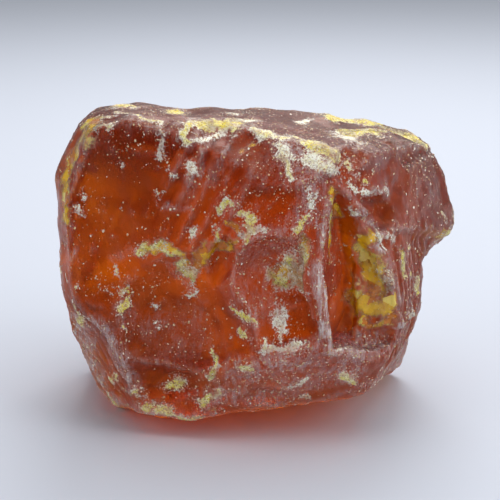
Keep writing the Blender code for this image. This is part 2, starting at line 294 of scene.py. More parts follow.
def noise(points, size, seed):
    """Smooth noise from -1 to 1 with cells of this size."""
    values = np.random.default_rng(seed).uniform(-1, 1, HASH_SIZE)
    cell = np.floor(points / size).astype(np.int64)
    part = points / size - cell
    part = part * part * (3 - 2 * part)
    total = 0.0
    for corner in np.ndindex(2, 2, 2):
        x, y, z = (cell + corner).T
        weight = np.where(corner, part, 1 - part).prod(axis=1)
        total = total + weight * values[(x * HASH_X ^ y * HASH_Y ^ z * HASH_Z) % HASH_SIZE]
    return total


def within(points, middle, half_sizes, fade):
    """1 inside an ellipsoid, falling to 0 over this share of its size outside it."""
    away = np.linalg.norm((points - np.array(middle)) / half_sizes, axis=1)
    return np.clip(1 + fade - away, 0, fade) / fade


def ripples(points, table, wander, fade):
    """The height of each set of ripples here, whose rings wander off true."""
    for centre, spacing, amount, middle, half_sizes in table.values():
        turns = np.linalg.norm(points - np.array(centre), axis=1) / spacing + wander
        yield amount * within(points, middle, half_sizes, fade), 1 - 2 * np.abs(np.sin(math.pi * turns))


def relief(points):
    """How far ripples and lumps raise the surface here."""
    height = sum(amount * noise(points, size, 20 + n) for n, (size, amount) in enumerate(LUMPS))
    for amount, wave in ripples(points, RIPPLES, 0.35 * noise(points, 9.0, 31), RIPPLE_FADE):
        height = height + amount * wave
    return height


def fine_relief(points):
    """What stands on the ripples: thin ribs, fibres along the crests, and the chips' small facets."""
    height, strength = 0.0, 0.6 + 0.4 * noise(points, 3.0, 42)
    for amount, wave in ripples(points, FINE_RIPPLES, 0.5 * noise(points, 5.0, 41), FINE_FADE):
        height = height + amount * strength * wave
    facets = 0.5 - 1.5 * np.abs(noise(points, 5.5, 43)) - 0.5 * np.abs(noise(points, 2.6, 44))
    return height + within(points, *CHIPPED, FINE_FADE) * facets


def outside_lump(points):
    """Distance outside the lump, negative inside."""
    shift = sum(amount * np.stack([noise(points, size, 10 * n + axis) for axis in range(3)], axis=1)
                for n, (size, amount) in enumerate(WARPS, 1))
    moved = points + shift * 0.5
    distance = outside_block(moved, BODY)
    distance = smooth_min(distance, outside_block(moved, BLOCK), JOIN_ROUND)
    distance = smooth_min(distance, outside_block(moved, KNOB), JOIN_ROUND)
    distance = smooth_max(distance, inside_notch(moved, RECESS), SCAR_ROUND)
    distance = smooth_min(distance, outside_block(moved, CHIPS), SCAR_ROUND)
    for scar in SCARS.values():
        distance = smooth_max(distance, -outside_ellipsoid(moved, *scar), SCAR_ROUND)
    for crest in CRESTS.values():
        distance = smooth_min(distance, outside_crest(moved, *crest), SCAR_ROUND)
    return distance - relief(points) - fine_relief(points)


def settled(points, rounds, probe=0.05):
    """The points moved along the slope of the distance until they lie on the surface."""
    for _ in range(rounds):
        distance = outside_lump(points)
        rises = [outside_lump(points + probe * axis) - distance for axis in np.eye(3)]
        slope = np.stack(rises, axis=1) / probe
        steep = np.maximum((slope * slope).sum(axis=1), 0.25)
        points = points - np.clip(distance / steep, -0.5, 0.5)[:, None] * slope
    return points


def points_of(mesh):
    found = np.empty(len(mesh.vertices) * 3)
    mesh.vertices.foreach_get("co", found)
    return found.reshape(-1, 3)


def put_points(mesh, points):
    mesh.vertices.foreach_set("co", points.ravel())
    mesh.update()


def plain_copy(obj):
    """The object's mesh with its modifiers taken into it."""
    mesh = bpy.data.meshes.new_from_object(obj.evaluated_get(bpy.context.evaluated_depsgraph_get()))
    obj.modifiers.clear()
    return mesh


def evened(obj, spacing, calming):
    """Gives the object an even mesh of this spacing and takes the steps off it."""
    if spacing:
        even = obj.modifiers.new("even", "REMESH")
        even.mode = "VOXEL"
        even.voxel_size = spacing * MM
    calm = obj.modifiers.new("calm", "SMOOTH")
    calm.iterations = calming
    obj.data = plain_copy(obj)


# Finer ripples than the solid's, the chips' small facets, and the spacing of the mesh.
FINE_RIPPLES = {
    "knob_lines": ((58.0, -22.0, 12.0), 1.35, 0.16, (-8.0, -26.0, 56.0), (10.0, 12.0, 13.0)),
    "knob_under_lines": ((52.0, -24.0, 21.0), 1.2, 0.10, (4.0, -28.0, 50.0), (11.0, 8.0, 9.0)),
    "chamfer_lines": ((-54.0, 35.0, -12.0), 1.3, 0.16, (-35.0, -13.0, 16.0), (9.0, 11.0, 13.0)),
    "flank_lines": ((9.0, -62.0, 22.0), 1.15, 0.24, (32.0, -13.0, 30.0), (9.0, 14.0, 15.0)),
    "band_lines": ((10.0, -80.0, -60.0), 1.5, 0.12, (10.0, -22.0, 15.0), (26.0, 8.0, 8.0)),
    "scar_lines": ((-46.0, -36.0, 60.0), 3.6, 0.10, (-22.0, -22.0, 26.0), (16.0, 8.0, 20.0)),
    "back_lines": ((24.0, 30.0, 96.0), 2.2, 0.12, (-8.0, 30.0, 42.0), (22.0, 10.0, 18.0)),
    "left_lines": ((-30.0, 60.0, -20.0), 2.4, 0.16, (-40.0, 8.0, 30.0), (8.0, 14.0, 18.0)),
}
CHIPPED = ((25.0, -21.0, 34.0), (5.5, 6.0, 12.0))
SKIN_SPACING, FOOT_HEIGHT = 0.56, 0.1

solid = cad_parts["amber_lump"]
lump = bpy.data.objects.new("amber_skin", solid.data.copy())
bpy.context.scene.collection.objects.link(lump)
whole = bmesh.new()
whole.from_mesh(lump.data)
bmesh.ops.remove_doubles(whole, verts=whole.verts, dist=1e-7)
whole.to_mesh(lump.data)
whole.free()
lump.data.materials.clear()
evened(lump, SKIN_SPACING, 5)
for calming in (3, 1):
    laid_out = points_of(lump.data) / MM * LAYOUT_SCALE + LAYOUT_SHIFT
    foot = laid_out[:, 2] < FOOT_HEIGHT
    moved = settled(laid_out, 2)
    moved[:, 2] = np.maximum(np.where(foot, laid_out[:, 2], moved[:, 2]), 0)
    put_points(lump.data, (moved - LAYOUT_SHIFT) / LAYOUT_SCALE * MM)
    evened(lump, None, calming)


# ---- Marks on the skin -----------------------------------------------------------------------
# Weathering has left chalky white and yellow crust along the edges, and blows have left yellow bruises just
# under the skin, which also carry painted glow where light shines through thin chips and edges. The old
# surfaces are frosted under a painted sheen. Each mark is a path on the front of the lump.

# Chalky crust: (half width in mm, chalkiness from 0 yellow to 1 white, pixels of its path).
CRUST = {
    "corner_scratches": (0.7, 0.7, ((97, 128), (103, 118), (115, 116))),
    "corner_scratch_low": (0.7, 0.7, ((98, 132), (104, 124), (110, 132), (114, 124))),
    "edge_left": (1.0, 0.6, ((118, 112), (132, 114), (146, 119), (160, 122))),
    "edge_drip": (1.0, 0.9, ((162, 124), (162, 140), (161, 160))),
    "main_patch": (1.2, 1.0, ((189, 166), (192, 172))),
    "main_curl": (0.6, 0.8, ((155, 174), (161, 170), (167, 172), (173, 176))),
    "main_curl_low": (0.6, 0.8, ((158, 192), (162, 196), (166, 192), (161, 201))),
    "main_speck_high": (0.5, 0.9, ((138, 143), (139, 145))),
    "main_speck_middle": (0.5, 0.9, ((123, 163), (125, 165))),
    "main_speck_low": (0.5, 0.7, ((121, 209), (123, 211))),
    "facet_speck": (0.7, 0.9, ((80, 192), (84, 199))),
    "facet_speck_low": (0.7, 0.9, ((79, 208), (82, 216))),
    "edge_curl": (1.3, 0.6, ((182, 134), (187, 126), (193, 122), (198, 126))),
    "edge_curl_low": (1.1, 0.5, ((184, 138), (192, 139), (198, 137))),
    "edge_arch": (1.4, 1.0, ((198, 137), (207, 139), (214, 137), (222, 131), (230, 127))),
    "edge_yellow": (3.0, 0.0, ((206, 124), (216, 125), (228, 125), (236, 123))),
    "edge_cluster": (1.2, 0.9, ((240, 121), (247, 122), (254, 120))),
    "edge_cluster_low": (1.0, 0.7, ((253, 128), (260, 131), (266, 134))),
    "edge_patch": (2.0, 0.7, ((267, 132), (275, 135), (283, 139))),
    "edge_slope": (2.4, 0.55, ((293, 137), (306, 142), (318, 147), (328, 152), (336, 157))),
    "edge_slope_low": (2.2, 0.9, ((304, 158), (314, 163), (326, 168), (334, 174))),
    "slope_streak": (1.1, 0.7, ((279, 152), (284, 160), (287, 169), (291, 180))),
    "slope_patch": (1.2, 0.9, ((276, 146), (284, 150), (290, 156))),
    "knob_white": (1.4, 1.0, ((309, 186), (312, 194), (310, 204), (308, 210))),
    "knob_white_side": (0.8, 1.0, ((318, 196), (316, 206))),
    "top_white": (3.4, 1.0, ((340, 136), (346, 138), (353, 140))),
    "top_yellow": (4.2, 0.2, ((353, 134), (362, 131), (373, 130))),
    "top_yellow_left": (2.6, 0.2, ((330, 119), (340, 120), (350, 122))),
    "top_yellow_right": (2.4, 0.2, ((354, 121), (366, 122), (376, 124))),
    "top_corner": (2.2, 0.3, ((382, 127), (394, 131), (406, 135), (416, 138), (421, 143))),
    "top_left_yellow": (2.4, 0.3, ((118, 106), (128, 106))),
    "top_left_yellow_side": (2.2, 0.3, ((170, 112), (178, 112))),
    "top_middle_streak": (1.4, 0.9, ((222, 113), (240, 114))),
    "top_middle_bar": (1.8, 1.0, ((300, 124), (306, 121), (309, 119))),
    "block_yellow": (1.2, 0.3, ((347, 163), (352, 168), (357, 171))),
    "block_yellow_low": (0.9, 0.3, ((362, 178), (366, 181))),
    "block_ledge": (1.1, 1.0, ((362, 190), (370, 194), (376, 192), (384, 188), (388, 191))),
    "block_ledge_left": (0.9, 0.9, ((350, 184), (356, 189), (362, 193))),
    "block_tip": (1.5, 0.15, ((439, 240), (445, 237), (449, 232))),
    "block_side": (0.8, 0.5, ((441, 210), (446, 218))),
    "crest_white": (1.3, 1.0, ((376, 232), (380, 240), (384, 249))),
    "crest_white_right": (1.0, 1.0, ((389, 234), (393, 240))),
    "flank_yellow": (1.5, 0.3, ((402, 252), (402, 262), (404, 275))),
    "flank_yellow_right": (1.0, 0.4, ((417, 278), (418, 292))),
    "arc_ring": (1.2, 0.3, ((222, 212), (228, 205), (235, 209), (243, 215))),
    "arc_ring_right": (1.3, 0.3, ((250, 216), (251, 227), (247, 238))),
    "arc_ring_left": (0.9, 0.3, ((217, 228), (219, 238))),
    "arc_white": (1.0, 0.9, ((226, 200), (229, 205), (240, 211))),
    "arc_low_white": (1.2, 0.8, ((246, 234), (256, 232), (262, 234))),
    "arc_yellow": (1.2, 0.2, ((138, 253), (148, 247), (158, 246), (166, 242), (166, 250))),
    "arc_yellow_right": (0.9, 0.5, ((168, 248), (173, 255))),
    "arc_v": (1.2, 0.3, ((180, 262), (187, 270), (193, 278), (197, 268))),
    "arc_v_stem": (0.8, 0.8, ((191, 279), (194, 290), (190, 296))),
    "glow_white": (0.8, 0.9, ((196, 226), (193, 234))),
    "near_crest_yellow": (1.5, 0.4, ((303, 246), (304, 256), (306, 264))),
    "near_crest_streak": (0.9, 0.2, ((296, 232), (301, 226), (306, 220))),
    "fork_cream": (2.4, 0.55, ((287, 260), (293, 268), (297, 278), (303, 287))),
    "fork_left": (1.3, 0.4, ((269, 273), (278, 280), (288, 284))),
    "fork_white": (1.2, 0.9, ((299, 262), (302, 270))),
    "middle_white": (1.6, 1.0, ((281, 310), (282, 318), (284, 328))),
    "middle_white_stem": (1.1, 0.9, ((283, 328), (281, 340), (282, 352))),
    "middle_white_foot": (1.6, 0.8, ((268, 352), (277, 350), (288, 348), (297, 344))),
    "middle_white_left": (0.8, 0.7, ((264, 340), (266, 352))),
    "low_streak": (0.9, 0.5, ((233, 306), (240, 313), (249, 318), (256, 323))),
    "low_spot": (1.2, 0.4, ((244, 332), (247, 337))),
    "low_speck": (0.5, 0.8, ((229, 333), (229, 336))),
    "left_ring": (1.3, 0.25, ((121, 290), (127, 288), (133, 295), (127, 299), (121, 306), (128, 305))),
    "left_edge_patch": (1.8, 0.35, ((74, 304), (79, 312), (84, 318), (80, 320))),
    "left_edge_specks": (0.7, 0.9, ((66, 274), (67, 280))),
    "left_edge_speck_low": (0.6, 0.6, ((74, 280), (75, 286))),
    "left_white": (0.8, 1.0, ((103, 290), (108, 294))),
    "left_speck_one": (0.6, 0.6, ((116, 268), (119, 273))),
    "left_speck_two": (0.6, 0.5, ((124, 322), (127, 330))),
    "left_speck_three": (0.6, 0.9, ((103, 326), (107, 327))),
    "left_speck_four": (0.6, 0.9, ((159, 323), (162, 328))),
    "left_speck_five": (0.6, 0.6, ((136, 296), (138, 300))),
    "left_speck_six": (0.6, 0.9, ((154, 305), (157, 309))),
    "chamfer_patch": (1.1, 0.7, ((105, 384), (108, 392), (112, 397))),
    "chamfer_patch_high": (1.2, 0.5, ((112, 380), (117, 374))),
    "chamfer_patch_low": (1.1, 0.5, ((124, 389), (130, 394), (138, 391), (140, 397))),
    "foot_crust_left": (1.4, 0.5, ((110, 402), (120, 407), (128, 411))),
    "foot_crust": (1.2, 0.35, ((133, 402), (143, 405), (155, 408), (166, 412))),
    "foot_crust_right": (0.9, 0.45, ((168, 411), (178, 416), (190, 419), (200, 418))),
    "low_yellow": (1.4, 0.25, ((168, 384), (174, 382), (178, 380))),
    "low_column": (1.0, 0.4, ((213, 354), (215, 364), (212, 374))),
    "low_column_white": (0.8, 1.0, ((216, 364), (218, 368))),
    "low_patch": (1.9, 0.3, ((202, 402), (210, 398), (216, 393))),
    "low_amber_drop": (1.0, 0.1, ((214, 411), (218, 414), (222, 412))),
    "low_middle": (1.3, 0.4, ((240, 366), (246, 368), (250, 368))),
    "band_cream": (1.5, 0.5, ((344, 376), (350, 378), (353, 383))),
    "band_white": (0.9, 0.9, ((336, 354), (342, 351))),
    "band_left_speck": (0.9, 0.5, ((302, 398), (308, 397))),
    "band_streak": (0.9, 0.9, ((293, 389), (299, 384), (304, 379))),
    "recess_white": (1.0, 0.8, ((350, 206), (354, 212))),
    "recess_left_crust": (1.0, 0.4, ((331, 200), (331, 216), (329, 232))),
}

# Yellow bruises under the skin, partly painted glow where light shines through the thin chips and the left
# facet: (half width in mm, pixels of the path).
BRUISES_AND_PAINTED_GLOW = {
    "facet_bright": (4.0, ((94, 118), (88, 128), (82, 136))),
    "facet_olive": (3.6, ((76, 150), (71, 160), (67, 176))),
    "facet_low": (2.8, ((66, 186), (64, 204), (64, 220))),
    "ring_wash": (1.0, ((228, 222), (238, 226), (242, 232))),
    "arc_wash": (2.4, ((200, 262), (206, 250), (216, 244), (230, 242))),
    "arc_bright": (1.3, ((203, 258), (210, 247), (222, 243), (238, 240))),
    "arc_left_wash": (2.6, ((150, 250), (166, 246), (178, 252))),
    "v_wash": (2.4, ((184, 262), (192, 272), (200, 262))),
    "slope_gold": (1.2, ((242, 152), (250, 147), (254, 144))),
    "near_crest": (2.0, ((303, 240), (305, 255), (300, 270))),
    "fork_wash": (2.6, ((280, 274), (292, 274), (302, 282))),
    "top_right": (2.6, ((384, 128), (398, 134), (412, 140))),
    "top_front": (2.2, ((352, 134), (366, 131), (378, 132))),
    "recess_wall_high": (2.2, ((334, 192), (333, 204), (336, 214))),
    "recess_wall": (1.2, ((331, 222), (330, 240), (329, 262))),
    "chip_high": (3.0, ((368, 240), (364, 252), (366, 262))),
    "chip_middle": (3.6, ((372, 256), (374, 272), (378, 288))),
    "chip_low_left": (3.0, ((354, 282), (352, 298), (356, 312))),
    "chip_low": (4.0, ((362, 300), (372, 312), (386, 304))),
    "chip_foot": (2.6, ((360, 320), (374, 326), (386, 318))),
    "low_yellow": (1.2, ((216, 360), (214, 370))),
    "foot_gold": (1.2, ((215, 411), (222, 414), (230, 411))),
    "right_gold": (0.7, ((384, 372), (390, 366))),
    "flank_gold": (1.6, ((402, 250), (403, 270))),
    "tip_gold": (1.8, ((440, 238), (447, 232))),
}

# Frost laid over the skin, with a painted sheen that stands in for the reflection of the bright floor and
# lights: (half width in mm, strength, pixels of the path).
PAINTED_SHEEN_AND_FROST = {
    "middle_crest": (1.3, 0.9, ((331, 186), (326, 212), (322, 238), (320, 262), (322, 285), (327, 310),
                                (328, 345))),
    "middle_crest_low": (1.4, 0.7, ((316, 262), (317, 290), (321, 325), (324, 350))),
    "right_crest_high": (0.7, 0.6, ((338, 180), (350, 192), (362, 208), (370, 226))),
    "right_crest": (2.8, 1.1, ((370, 226), (378, 246), (387, 266), (394, 290), (399, 318))),
    "flank_strands": (2.0, 0.3, ((408, 262), (412, 290), (410, 320), (402, 340))),
    "left_crest": (0.5, 0.7, ((97, 122), (86, 148), (76, 174), (68, 200), (72, 212), (77, 243), (68, 266))),
    "chamfer": (4.0, 0.8, ((78, 322), (84, 344), (92, 366), (104, 388), (118, 402))),
    "chamfer_inner": (2.4, 0.6, ((98, 322), (112, 340), (120, 362), (128, 384))),
    "band_high": (3.6, 0.58, ((238, 375), (270, 368), (310, 358), (340, 348), (380, 344))),
    "band_low": (4.4, 0.5, ((226, 398), (270, 392), (310, 384), (350, 372))),
    "band_line": (0.8, 0.8, ((262, 373), (300, 366), (340, 362), (380, 356))),
    "recess_floor": (2.6, 0.5, ((345, 338), (362, 334), (382, 330))),
    "slope": (4.6, 0.5, ((288, 146), (306, 168), (318, 188))),
    "slope_low": (3.0, 0.5, ((308, 180), (312, 196), (306, 212))),
    "top_left": (3.4, 0.1, ((112, 110), (140, 112), (172, 118), (196, 122))),
    "top_right": (3.2, 0.2, ((268, 124), (310, 128), (340, 134), (372, 146))),
    "block_side": (5.0, 0.25, ((424, 158), (432, 184), (440, 212), (438, 236))),
    "block_shoulder": (3.0, 0.25, ((400, 150), (414, 168), (418, 190))),
    "block_front": (3.4, 0.12, ((350, 160), (368, 158), (386, 162))),
    "block_low": (2.0, 0.15, ((352, 180), (372, 190), (392, 182))),
    "block_under": (2.0, 0.15, ((398, 222), (412, 232), (420, 244))),
    "scar_rim": (1.0, 0.35, ((112, 258), (130, 252), (150, 256), (168, 262), (184, 280), (200, 300))),
    "scar_crescent": (3.2, 0.22, ((128, 316), (150, 326), (176, 324), (196, 312))),
    "scar_crescent_low": (3.4, 0.18, ((164, 344), (186, 344), (206, 336))),
    "middle": (5.0, 0.24, ((256, 250), (262, 280), (254, 306))),
    "middle_right": (3.0, 0.3, ((276, 246), (300, 246), (316, 252))),
    "knob_left": (1.4, 0.3, ((205, 140), (200, 160), (196, 182), (192, 196))),
    "knob_side": (1.2, 0.3, ((228, 150), (220, 168), (214, 188))),
    "knob_edge": (0.9, 0.4, ((232, 222), (252, 238), (276, 232), (296, 226))),
    "main_crack": (0.45, 0.8, ((166, 203), (180, 205), (192, 206), (199, 209))),
    "foot": (1.6, 0.35, ((120, 404), (150, 410), (190, 419), (230, 414), (270, 408))),
    "foot_right": (1.6, 0.4, ((270, 408), (310, 402), (350, 392), (384, 378))),
}

# Painted glow and painted shade in the resin's tint: where light is painted as coming through strongest, and
# where the lump is painted dark: (pixel, radius in mm, amount).
PAINTED_GLOW_SPOTS = {
    "main": ((110, 240), 11.0, 1.0),
    "main_low": ((96, 262), 9.0, 0.9),
    "main_right": ((186, 210), 9.0, 0.35),
    "scar": ((176, 284), 7.0, 0.9),
    "hollow": ((214, 268), 6.0, 0.6),
    "middle": ((236, 238), 5.0, 0.3),
    "recess": ((342, 250), 8.0, 0.7),
    "recess_low": ((340, 305), 5.0, 0.8),
    "top_dark": ((112, 146), 9.0, -0.15),
    "upper_dark": ((128, 186), 8.0, -0.8),
    "left_dark": ((96, 304), 8.0, -1.5),
    "scar_dark": ((168, 334), 10.0, -1.0),
    "low_dark": ((150, 372), 10.0, -0.6),
    "knob_dark": ((252, 176), 9.0, -1.0),
    "scoop_dark": ((390, 205), 6.0, -0.5),
    "middle_dark": ((258, 300), 10.0, -0.5),
    "band_dark": ((290, 380), 10.0, -0.1),
    "chamfer": ((95, 350), 7.0, 0.4),
    "ribs": ((204, 166), 6.0, 0.4),
    "knob_red": ((264, 208), 5.0, 0.5),
}

skin_tree = BVHTree.FromObject(lump, bpy.context.evaluated_depsgraph_get())
skin = points_of(lump.data) / MM
outward = np.empty(len(skin) * 3)
lump.data.vertex_normals.foreach_get("vector", outward)
outward = outward.reshape(-1, 3)


def landed(path, step=2.0):
    """Points on the skin, in millimetres, where the camera sees this path of pixels."""
    corners = np.array(path, float)
    found = []
    for start, end in zip(corners[:-1], corners[1:]):
        for share in np.arange(0, 1, step / max(np.linalg.norm(end - start), step)):
            found.append(start + (end - start) * share)
    ways = (Vector(sight_line(*pixel)) for pixel in found + [corners[-1]])
    hits = (skin_tree.ray_cast(Vector(eye * MM), way)[0] for way in ways)
    return np.array([hit for hit in hits if hit is not None]).reshape(-1, 3) / MM


# Marks wander off their paths and change width along them.
chance = np.random.default_rng(7)
strays = [0.9 * noise(skin, 3.2, 61 + axis) + 0.4 * noise(skin, 1.3, 64 + axis) for axis in range(3)]
astray = skin + np.stack(strays, axis=1)
widening = 1 + 0.6 * noise(skin, 4.0, 67)


def nearness(marks, reach):
    """How near each point of the skin is to any of these marks: 1 on one, 0 at its width, -1 further off."""
    near = -np.ones(len(skin))
    which = np.zeros(len(skin), int)
    for n, (width, path) in enumerate(marks):
        if not len(path):
            continue
        in_box = (skin > path.min(axis=0) - reach) & (skin < path.max(axis=0) + reach)
        close = np.flatnonzero(in_box.all(axis=1))
        if not len(close):
            continue
        away = np.min([np.linalg.norm(astray[close] - point, axis=1) for point in path], axis=0)
        value = np.clip(1 - away / (width * widening[close]), -1, 1)
        better = value > near[close]
        near[close[better]] = value[better]
        which[close[better]] = n
    return near, which


def wandering(start, way, length, step=0.7):
    """A path over the skin from a point on it, which keeps about this direction."""
    path, spot = [start], Vector(start * MM)
    for _ in range(int(length / step)):
        spot, facing = skin_tree.find_nearest(spot + Vector(way * step * MM))[:2]
        if (Vector(eye * MM) - spot).dot(facing) > 0:
            break
        way = way - np.array(facing) * (way @ np.array(facing)) + 0.25 * chance.normal(size=3)
        way = way / np.linalg.norm(way)
        path.append(np.array(spot) / MM)
    return np.array(path)


# The sides away from the camera carry the same kinds of marks, strewn over them, crust mostly along
# the edges: (how many, least and most half width in mm, least and most length in mm).
HIDDEN_SPECKS = (260, (0.25, 0.7), (0.2, 1.6))
HIDDEN_CRUSTS = (60, (0.7, 2.6), (1.0, 14.0))
HIDDEN_BRUISES_AND_GLOW = (20, (1.2, 3.0), (2.0, 12.0))
HIDDEN_FROST_AND_SHEEN = (44, (1.5, 4.5), (8.0, 30.0))
BARE_FOOT, UNDERSIDE, EDGE_LEAST, EDGE_WEIGHT = 3.0, -0.75, 0.35, 8
CRUST_REACH, BRUISE_REACH, HAZE_REACH = 4.0, 6.0, 8.0

neighbours = np.empty(len(lump.data.edges) * 2, int)
lump.data.edges.foreach_get("vertices", neighbours)
neighbours = neighbours.reshape(-1, 2)


def spread(values, rounds):
    """The values of the skin's points, evened out with their neighbours' this many times."""
    counts = np.bincount(neighbours.ravel(), minlength=len(skin))
    for _ in range(rounds):
        total = np.bincount(neighbours[:, 0], values[neighbours[:, 1]], len(skin))
        total += np.bincount(neighbours[:, 1], values[neighbours[:, 0]], len(skin))
        values = (values + total / counts) / 2
    return values


# How sharply the skin bends: above 0 on edges, below 0 in hollows.
SHARP_BEND, MOST_BEND = 0.16, 1.5
smooth_skin = np.stack([spread(skin[:, axis], 12) for axis in range(3)], axis=1)
bend = np.clip(((skin - smooth_skin) * outward).sum(axis=1) / SHARP_BEND, -MOST_BEND, MOST_BEND)
edge = np.clip(bend, 0, MOST_BEND)

seen = ((eye - skin) * outward).sum(axis=1) > 0
hidden = np.flatnonzero(~seen & (skin[:, 2] > BARE_FOOT) & (outward[:, 2] > UNDERSIDE))
hidden_edges = hidden[edge[hidden] > EDGE_LEAST]


def strewn(spots, count, widths, lengths):
    """Marks of random width and length that start at random ones of these spots."""
    found = []
    for n in chance.choice(spots, count):
        way = np.cross(outward[n], chance.normal(size=3))
        width, length = chance.uniform(*widths), chance.uniform(*lengths)
        found.append((width, wandering(skin[n], way / np.linalg.norm(way), length)))
    return found


crusts = [(width, landed(path)) for width, _, path in CRUST.values()]
chalks = [chalk for _, chalk, _ in CRUST.values()]
mostly_edges = np.concatenate((hidden, np.repeat(hidden_edges, EDGE_WEIGHT)))
hidden_crusts = strewn(hidden, *HIDDEN_SPECKS) + strewn(mostly_edges, *HIDDEN_CRUSTS)
crust, which = nearness(crusts + hidden_crusts, CRUST_REACH)
chalk = np.array(chalks + list(chance.uniform(0.1, 1.0, len(hidden_crusts))))[which]
bruise_and_glow_paths = [(width, landed(path)) for width, path in BRUISES_AND_PAINTED_GLOW.values()]
bruise_and_painted_glow, _ = nearness(bruise_and_glow_paths + strewn(hidden, *HIDDEN_BRUISES_AND_GLOW), BRUISE_REACH)

HAZE_BLEED = 0.35
frost_and_painted_sheen = np.zeros(len(skin))
frost_and_sheen_paths = [(width, strength, landed(path)) for width, strength, path in PAINTED_SHEEN_AND_FROST.values()]
frost_and_sheen_paths += [(width, chance.uniform(0.15, 0.5), path) for width, path in strewn(hidden, *HIDDEN_FROST_AND_SHEEN)]
for width, strength, path in frost_and_sheen_paths:
    near = nearness([(width, path)], HAZE_REACH)[0]
    frost_and_painted_sheen = np.maximum(frost_and_painted_sheen, strength * np.clip(near + HAZE_BLEED, 0, 1) / (1 + HAZE_BLEED))

# Over the old skin's frost, a painted sheen by the way it faces: most on top, less to the right, least
# elsewhere. Edges are rubbed, and bruises are clear of frost and sheen.
PAINTED_SHEEN_ON_TOP, PAINTED_SHEEN_ON_RIGHT, FROST_AND_SHEEN_ELSEWHERE, HAZE_ON_EDGES = 0.18, 0.08, 0.03, 0.26
upward, rightward = outward[:, 2], outward[:, 0]
grain = noise(skin, 9.0, 51) * 0.5 + 0.5
painted_sheen_by_facing = PAINTED_SHEEN_ON_TOP * np.clip(upward - 0.4, 0, 0.5)
painted_sheen_by_facing += PAINTED_SHEEN_ON_RIGHT * np.clip(rightward - 0.2, 0, 0.6)
painted_sheen_by_facing += FROST_AND_SHEEN_ELSEWHERE * grain * np.where(seen, rightward > 0, upward > -0.2)
frost_and_painted_sheen = np.maximum(frost_and_painted_sheen, painted_sheen_by_facing) + HAZE_ON_EDGES * np.clip(edge - 0.25, 0, 1)
frost_and_painted_sheen *= 1 - np.clip(bruise_and_painted_glow + 0.4, 0, 1)

# Painted glow and painted shade: the tint is painted lighter below and on the sides away from the camera, and
# painted darker on top and in hollows.
PAINTED_GLOW_UNEVEN, PAINTED_GLOW_BEHIND, PAINTED_GLOW_BELOW, PAINTED_SHADE_ON_TOP, PAINTED_SHADE_IN_HOLLOWS = 0.15, 0.5, 1.5, 2.0, 0.5
painted_glow_and_shade = PAINTED_GLOW_UNEVEN * noise(skin, 16.0, 52)
for pixel, radius, amount in PAINTED_GLOW_SPOTS.values():
    centre = landed((pixel, pixel))
    if len(centre):
        painted_glow_and_shade += amount * np.exp(-(((skin - centre[0]) / radius) ** 2).sum(axis=1))
painted_glow_and_shade += np.where(seen, 0, PAINTED_GLOW_BEHIND + 0.3 * noise(skin, 22.0, 53))
painted_glow_and_shade += PAINTED_GLOW_BELOW * np.clip(-upward - 0.3, 0, 1)
painted_glow_and_shade -= PAINTED_SHADE_ON_TOP * np.clip(upward - 0.4, 0, 0.5) + PAINTED_SHADE_IN_HOLLOWS * np.clip(-bend - 0.1, 0, 1)

# Crust stands a little proud of the skin, and the skin under a bruise is chipped in.
CRUST_RISE, CRUST_UNEVEN, CHIP_DEPTH, LEVEL_FOOT = 0.2, 0.3, 0.12, 0.3
box_low, box_high = np.array(cad_box) / MM
raised = np.clip(crust + 0.1, 0, 0.7) * (CRUST_RISE + CRUST_UNEVEN * noise(skin, 1.3, 54))
raised -= CHIP_DEPTH * np.clip(bruise_and_painted_glow, 0, 1)
raised[skin[:, 2] < LEVEL_FOOT] = 0
skin = np.clip(skin + outward * raised[:, None], box_low, box_high)
put_points(lump.data, skin * MM)

# Grains stick thickest on the frosted skin, and crumbs lie in and around the crust.
gritty = 0.16 + 1.2 * frost_and_painted_sheen + 0.3 * noise(skin, 7.0, 55) + 0.3 * np.clip(crust + 0.8, 0, 1)
gritty = np.clip(gritty, 0.04, 1)
crumbly = np.clip(crust + 0.45, 0, 1) ** 2

marked = {"crust": crust, "chalk": spread(chalk, 2), "bruise_and_painted_glow": bruise_and_painted_glow, "frost_and_painted_sheen": spread(frost_and_painted_sheen, 2),
          "painted_glow_and_shade": spread(painted_glow_and_shade, 2), "bend": bend, "gritty": gritty, "crumbly": crumbly}
for name, values in marked.items():
    attribute = lump.data.attributes.new(name, "FLOAT", "POINT")
    attribute.data.foreach_set("value", values.astype(np.float32))


# ---- What the lump is made of ----------------------------------------------------------------
# Amber is see-through resin that soaks up blue and green light; its tint carries painted glow and painted
# shade. Its old skin is finely frosted under a painted sheen, yellow where a blow has crazed it and partly
# painted glow there, and powdery where the weather has turned it to crust.


class Shade:
    """A value in a finish's nodes. Arithmetic on it adds Math nodes."""

    def __init__(self, finish, socket):
        self.finish, self.socket = finish, socket

    def math(self, operation, *values, clamp=False):
        return self.finish.node("Math", {"operation": operation, "use_clamp": clamp}, dict(enumerate(values)))

    def __add__(self, other):
        return self.math("ADD", self, other)

    def __sub__(self, other):
        return self.math("SUBTRACT", self, other)

    def __rsub__(self, other):
        return self.math("SUBTRACT", other, self)

    def __mul__(self, other):
        return self.math("MULTIPLY", self, other)

    def __truediv__(self, other):
        return self.math("DIVIDE", self, other)

    __radd__, __rmul__ = __add__, __mul__

    def most(self, other):
        return self.math("MAXIMUM", self, other)

    def least(self, other):
        return self.math("MINIMUM", self, other)

    def size(self):
        return self.math("ABSOLUTE", self)

    def kept(self):
        """The value kept between 0 and 1."""
        return self.math("ADD", self, 0.0, clamp=True)

    def step(self, low, high):
        """0 below low and 1 above high, with a soft rise between them."""
        return self.finish.node("MapRange", {"interpolation_type": "SMOOTHSTEP"},
                                {"Value": self, "From Min": low, "From Max": high})


